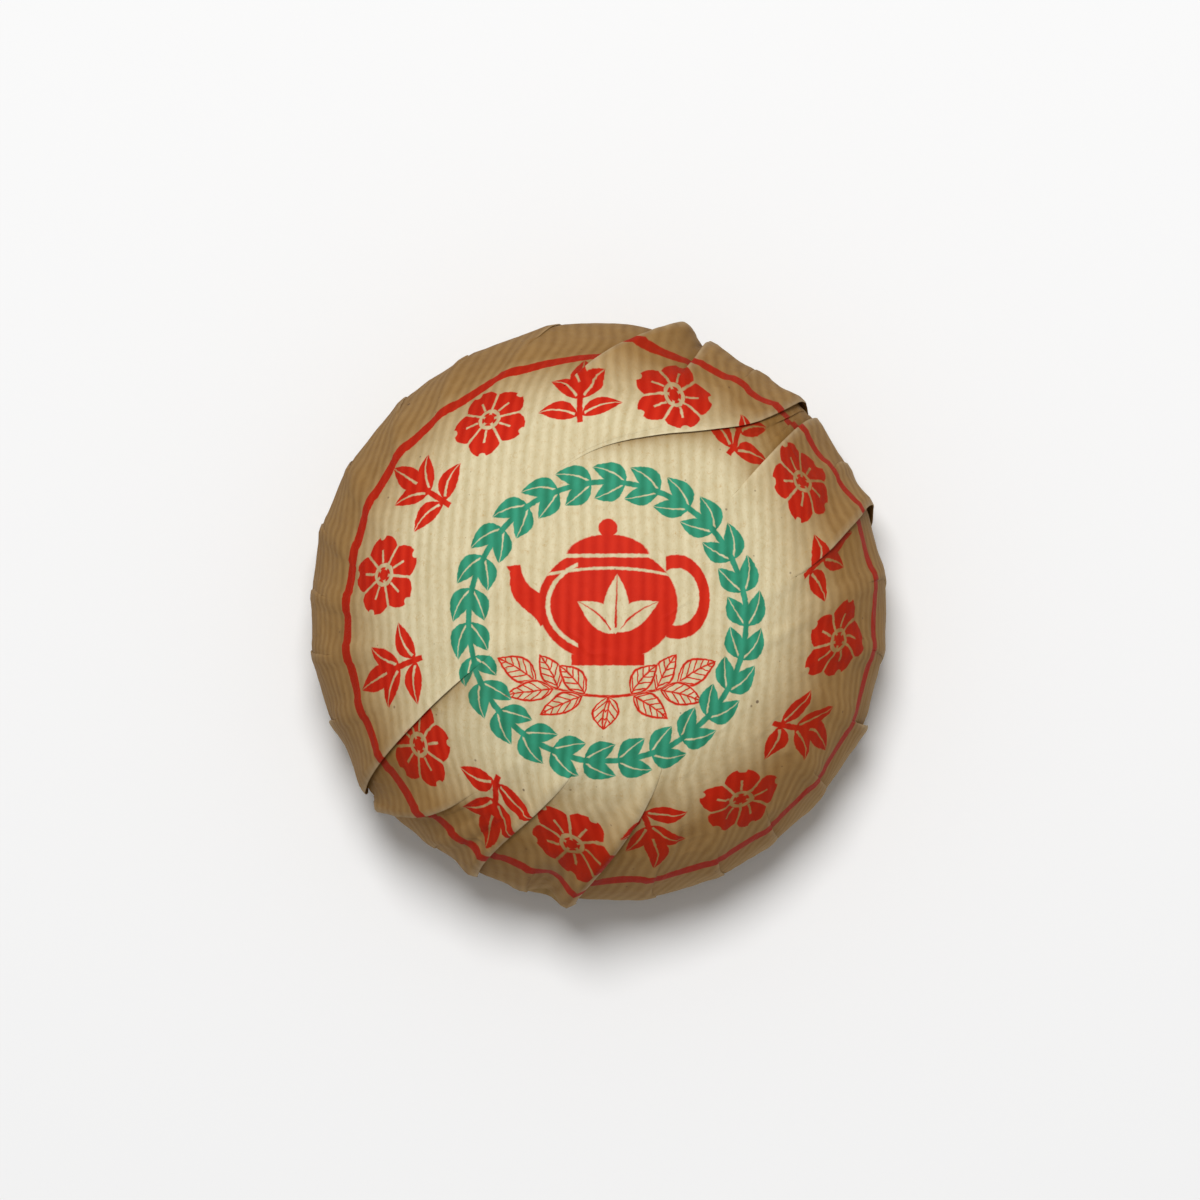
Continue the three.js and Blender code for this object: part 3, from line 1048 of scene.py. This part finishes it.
# How far ribs, small clouds and broad mottles lighten or darken the paper
RIB_CONTRAST = 0.44
CLOUD_CONTRAST = 0.9
MOTTLE_CONTRAST = 0.7
KRAFT = (0.675, 0.59, 0.385)
KRAFT_RIB = (0.51, 0.425, 0.245)
# Browner kraft is painted shade farther from the top; the first brown also colours the fibres and
# strands
FIBRE_AND_PAINTED_SHADE_BROWN = (0.42, 0.235, 0.06)
PAINTED_SHADE_BROWN_RIB = (0.275, 0.14, 0.03)
KRAFT_WORN_AND_HIGHLIT = (0.74, 0.63, 0.42)
PAINTED_SHADE_START = 26.0  # distance from the top where painted shade starts to make the paper browner
PAINTED_SHADE_LENGTH = 13.0
PAINTED_SHADE_BROWN_MOST = 0.85
PAINTED_SHADE_BROWN_SIDE_LOSS = 0.25
PAINTED_SHADE_EASE_START = 52.0  # distance from the top where that painted shade starts to ease a little down the side
PAINTED_SHADE_EASE_LENGTH = 14.0
RIM_SHADE_MOST = 0.37
RIM_SHADE_SIDE_LOSS = 0.22
RED_INK = (0.60, 0.020, 0.006)
RED_INK_DEEP = (0.46, 0.008, 0.002)
GREEN_INK = (0.022, 0.29, 0.172)
GREEN_INK_DEEP = (0.004, 0.158, 0.083)
RED_COVER = 0.985
GREEN_COVER = 0.97
FOLD_SHADE = (0.36, 0.20, 0.03)  # on the paper under a fold
FOLD_SHADE_MOST = 0.5
DEEP_SHADE = (0.10, 0.03, 0.008)  # on paper and ink alike
DEEP_SHADE_MOST = 0.3
RIM_SHADE = (0.10, 0.025, 0.005)
SPECK = (0.10, 0.06, 0.04)
# Single specks: place on the sheet and radius.
SPECKS = [(-32.5, 33.7, 0.25), (6.3, 42.0, 0.2), (-8.3, -28.5, 0.16), (25.6, -14.4, 0.24)]


def thin_lines(nodes, x, y, scale, seed, width):
    """Thin wandering lines, in patches, from 0 to 1 at their middle."""
    field = nodes.noise(x * scale, y * scale, seed, detail=1.0)
    line = (1 - abs(field - 0.5) / width).clamped()
    patch = (nodes.noise(x * scale * 0.6, y * scale * 0.6, seed + 4.0) - 0.5) * 7
    return line * patch.clamped()


def paper_grain(nodes, x, y):
    """The paper's ribs, from -1 to 1, their depth, and noises of fibres, clouds and mottles."""
    wander = (nodes.noise(x * 0.05, y * 0.05, 5.0) - 0.5) * RIB_WANDER
    return SimpleNamespace(
        rib=((x + wander) * (math.tau / RIB_PERIOD)).math("SINE"),
        rib_depth=nodes.noise(x * 0.5, y * 0.06, 6.0) * 1.3,
        fibre=nodes.noise(x * 2.6, y * 1.3, 1.0, detail=5.0, roughness=0.7) - 0.5,
        mottle=nodes.noise(x * 0.12, y * 0.12, 2.0, detail=3.0) - 0.5,
        cloud=nodes.noise(x * 0.8, y * 0.6, 8.0, detail=3.0, roughness=0.6) - 0.5,
    )


def printed_areas(nodes, x, y):
    """Where the paper is printed red and where green, with slightly ragged edges."""
    wobble_x = (nodes.noise(x * 1.6, y * 1.6, 3.0) - 0.5) * PRINT_WOBBLE
    wobble_y = (nodes.noise(x * 1.6, y * 1.6, 9.0) - 0.5) * PRINT_WOBBLE
    print_x = x - PRINT_CENTRE[0] + wobble_x
    print_y = y - PRINT_CENTRE[1] + wobble_y
    red = most([
        red_ring(print_x, print_y),
        border_line(print_x, print_y),
        emblem(print_x, print_y),
    ])
    return red, green_ring(print_x, print_y)


def bare_paper(nodes, x, y, grain, painted_shade_browning):
    """The colour of the unprinted paper: ribbed kraft with fibres, strands and specks, made
    browner farther from the top by painted shade.
    """
    lighter = grain.rib * grain.rib_depth * RIB_CONTRAST + 0.5
    lighter = (lighter + grain.cloud * CLOUD_CONTRAST + grain.mottle * MOTTLE_CONTRAST).clamped()
    paper = nodes.mix(lighter, KRAFT_RIB, KRAFT)
    # a browner copy of the kraft, used as painted shade
    painted_shade_kraft = nodes.mix(lighter, PAINTED_SHADE_BROWN_RIB, FIBRE_AND_PAINTED_SHADE_BROWN)
    paper = nodes.mix(painted_shade_browning, paper, painted_shade_kraft)
    paper = nodes.mix((grain.fibre * 1.6).clamped(), paper, FIBRE_AND_PAINTED_SHADE_BROWN)
    strand = thin_lines(nodes, x, y, scale=0.9, seed=21.0, width=0.016)
    paper = nodes.mix(strand * 0.4, paper, FIBRE_AND_PAINTED_SHADE_BROWN)
    paper = nodes.mix(nodes.flecks(x, y, spacing=5.0, size=0.16) * 0.6, paper, SPECK)
    dots = [inked(size - length(x - at_x, y - at_y)) for at_x, at_y, size in SPECKS]
    return nodes.mix(most(dots) * 0.8, paper, SPECK)


def printed(nodes, paper, areas, density, ink_depth_and_shade_share):
    """The paper's colour with the red and green inks on it."""
    red, green = areas
    red_ink = nodes.mix(ink_depth_and_shade_share, RED_INK, RED_INK_DEEP)
    green_ink = nodes.mix(ink_depth_and_shade_share, GREEN_INK, GREEN_INK_DEEP)
    colour = nodes.mix(red * density * RED_COVER, paper, red_ink)
    return nodes.mix(green * density * GREEN_COVER, colour, green_ink)


def wrapping_paper():
    """Ribbed kraft paper printed in red and green, with painted shade farther from the top and
    along its folds, and worn pale with a painted highlight at its folded edges.
    """
    material = bpy.data.materials.new("printed_wrapping_paper")
    nodes = Nodes(material)
    x, y = nodes.coordinates("sheet")
    grain = paper_grain(nodes, x, y)
    areas = printed_areas(nodes, x, y)
    # painted shade: paper and inks turn browner and darker farther from the top, easing a little down
    # the side
    painted_rim_share = ((nodes.attribute("reach") - PAINTED_SHADE_START) / PAINTED_SHADE_LENGTH).clamped()
    side = ((nodes.attribute("reach") - PAINTED_SHADE_EASE_START) / PAINTED_SHADE_EASE_LENGTH).clamped()
    shade = nodes.attribute("shade")

    paper = bare_paper(nodes, x, y, grain, painted_rim_share * (PAINTED_SHADE_BROWN_MOST - side * PAINTED_SHADE_BROWN_SIDE_LOSS))
    # fold edges worn pale: partly real wear, which also thins the ink, partly a painted highlight
    worn_and_highlit = (-shade * (0.35 + grain.cloud * 0.5)).clamped()
    paper = nodes.mix(worn_and_highlit, paper, KRAFT_WORN_AND_HIGHLIT)
    paper = nodes.mix(shade.clamped() * FOLD_SHADE_MOST, paper, FOLD_SHADE)

    patchy = nodes.noise(x * 0.9, y * 0.9, 7.0, detail=4.0, roughness=0.6) - 0.5
    density = 1.13 - patchy * 0.4 - grain.fibre * 0.3 - worn_and_highlit * 0.3 + grain.rib * 0.02
    # the inks deepen at random with ribs and clouds, and by painted shade farther from the top
    ink_depth_and_shade_share = 0.45 - grain.rib * grain.rib_depth * 0.5 + grain.cloud * 0.8 + painted_rim_share * 0.6
    colour = printed(nodes, paper, areas, density.clamped(), ink_depth_and_shade_share.clamped())
    rim_shade = painted_rim_share * painted_rim_share * (RIM_SHADE_MOST - side * RIM_SHADE_SIDE_LOSS)
    colour = nodes.mix(rim_shade, colour, RIM_SHADE)
    colour = nodes.mix(shade.clamped() * DEEP_SHADE_MOST, colour, DEEP_SHADE)
    nodes.link(colour, nodes.shader.inputs["Base Color"])

    roughness = 0.62 - most(areas) * 0.1 + grain.fibre * 0.15
    nodes.link(roughness, nodes.shader.inputs["Roughness"])
    nodes.shader.inputs["Specular IOR Level"].default_value = 0.03
    relief = grain.rib * grain.rib_depth * RIB_HEIGHT + grain.fibre * FIBRE_HEIGHT
    crinkle = thin_lines(nodes, x, y, scale=0.13, seed=12.0, width=0.06)
    nodes.bump(relief + grain.mottle * MOTTLE_HEIGHT + crinkle * CRINKLE_HEIGHT)
    return material


wrapper = make_wrapper()
wrapper.data.materials.append(wrapping_paper())
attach(wrapper, "root")
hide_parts(NODE)

# -------- floor, light and camera, in metres
FLOOR_SIDE = 6.0
FLOOR_GREY = (0.82, 0.82, 0.82, 1)
KEY_PLACE = (0.0, 0.35, 1.2)
KEY_SIZE = 0.5
KEY_WATTS = 12.9
WORLD_STRENGTH = 0.36
CAMERA_DISTANCE = 1.6
CAMERA_TILT = math.radians(6.3)
CAMERA_SIDE = Vector((0.56, -0.83, 0)).normalized()
LOOK_AT = Vector((0.00047, 0.00144, 0.015))
FRAME_WIDTH = 0.1697  # metres across the picture at the place looked at
SENSOR = 36.0  # millimetres


def make_floor():
    """A plain pale floor."""
    half = FLOOR_SIDE / 2
    corners = [(-half, -half, 0), (half, -half, 0), (half, half, 0), (-half, half, 0)]
    mesh = bpy.data.meshes.new("floor")
    mesh.from_pydata(corners, [], [(0, 1, 2, 3)])
    material = bpy.data.materials.new("pale_floor")
    nodes = Nodes(material)
    nodes.shader.inputs["Base Color"].default_value = FLOOR_GREY
    nodes.shader.inputs["Roughness"].default_value = 0.9
    mesh.materials.append(material)
    floor = add_object("floor", mesh)


def make_key_light():
    """One soft lamp above the top of the picture, turned to the origin."""
    light = bpy.data.lights.new("key", "AREA")
    light.shape = "DISK"
    light.size = KEY_SIZE
    light.energy = KEY_WATTS
    lamp = add_object("key", light)
    lamp.location = KEY_PLACE
    lamp.rotation_euler = (-Vector(KEY_PLACE)).to_track_quat("-Z", "Y").to_euler()


def make_world():
    world = bpy.data.worlds.new("soft_studio")
    bpy.context.scene.world = world
    world.use_nodes = True
    background = world.node_tree.nodes["Background"]
    background.inputs["Color"].default_value = (1, 1, 1, 1)
    background.inputs["Strength"].default_value = WORLD_STRENGTH


def make_camera():
    """The camera of the photograph: nearly straight above, leaned back toward CAMERA_SIDE."""
    lens = bpy.data.cameras.new("camera")
    lens.sensor_width = SENSOR
    lens.lens = SENSOR * CAMERA_DISTANCE / FRAME_WIDTH
    camera = add_object("camera", lens)
    back = CAMERA_SIDE * math.sin(CAMERA_TILT) + Vector((0, 0, math.cos(CAMERA_TILT)))
    across = Vector((0, 1, 0)).cross(back).normalized()
    up = back.cross(across)
    turn = Matrix((across, up, back)).transposed().to_4x4()
    camera.matrix_world = Matrix.Translation(LOOK_AT + back * CAMERA_DISTANCE) @ turn
    bpy.context.scene.camera = camera


make_floor()
make_key_light()
make_world()
make_camera()
bpy.context.scene.view_settings.view_transform = "Standard"
